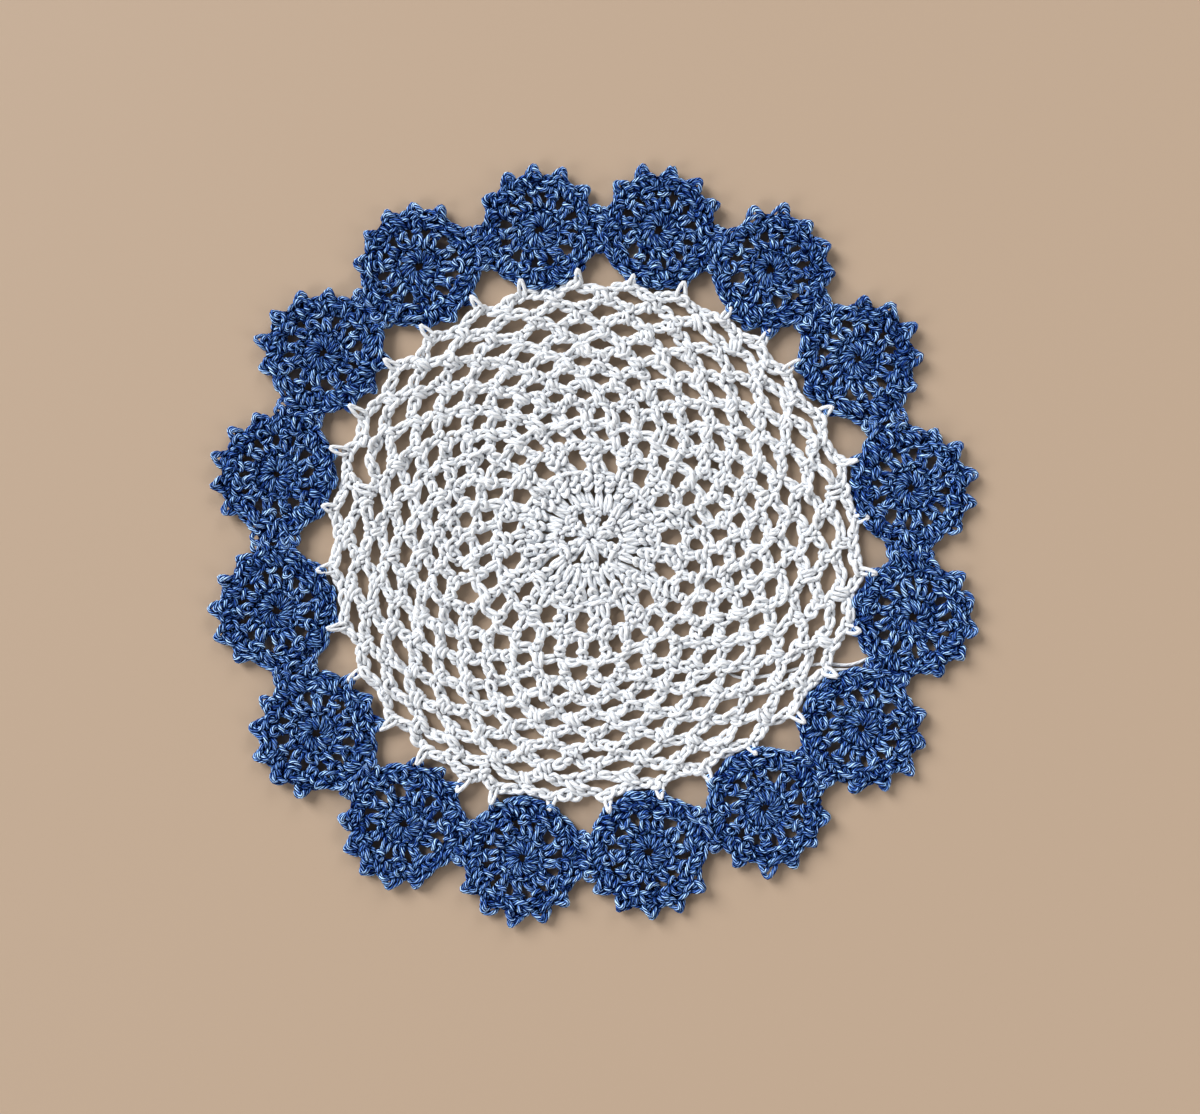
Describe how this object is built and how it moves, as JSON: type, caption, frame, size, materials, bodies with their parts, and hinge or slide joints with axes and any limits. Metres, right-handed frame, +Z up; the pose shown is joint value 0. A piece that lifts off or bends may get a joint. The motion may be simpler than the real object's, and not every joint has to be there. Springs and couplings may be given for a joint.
{
  "type": "lace doily",
  "caption": "Round crocheted doily: an open white cotton net ringed by joined blue flower motifs, lying flat.",
  "frame": {"origin": "middle of the net's hub, on the underside that lies on the table", "axes": "+Z up out of the right side of the work, +Y away from the near edge, +X to the right seen from above"},
  "size_m": [0.2287, 0.2271, 0.0031],
  "materials": {
    "white_cotton": "matt bleached cotton yarn",
    "blue_cotton": "matt heathered denim-blue cotton yarn"
  },
  "bodies": {
    "root": {"net_centre": "white_cotton", "motif_01": "blue_cotton", "motif_02": "blue_cotton", "motif_03": "blue_cotton", "motif_04": "blue_cotton", "motif_05": "blue_cotton", "motif_06": "blue_cotton", "motif_07": "blue_cotton", "motif_08": "blue_cotton", "motif_09": "blue_cotton", "motif_10": "blue_cotton", "motif_11": "blue_cotton", "motif_12": "blue_cotton", "motif_13": "blue_cotton", "motif_14": "blue_cotton", "motif_15": "blue_cotton", "motif_16": "blue_cotton"}
  },
  "joints": []
}
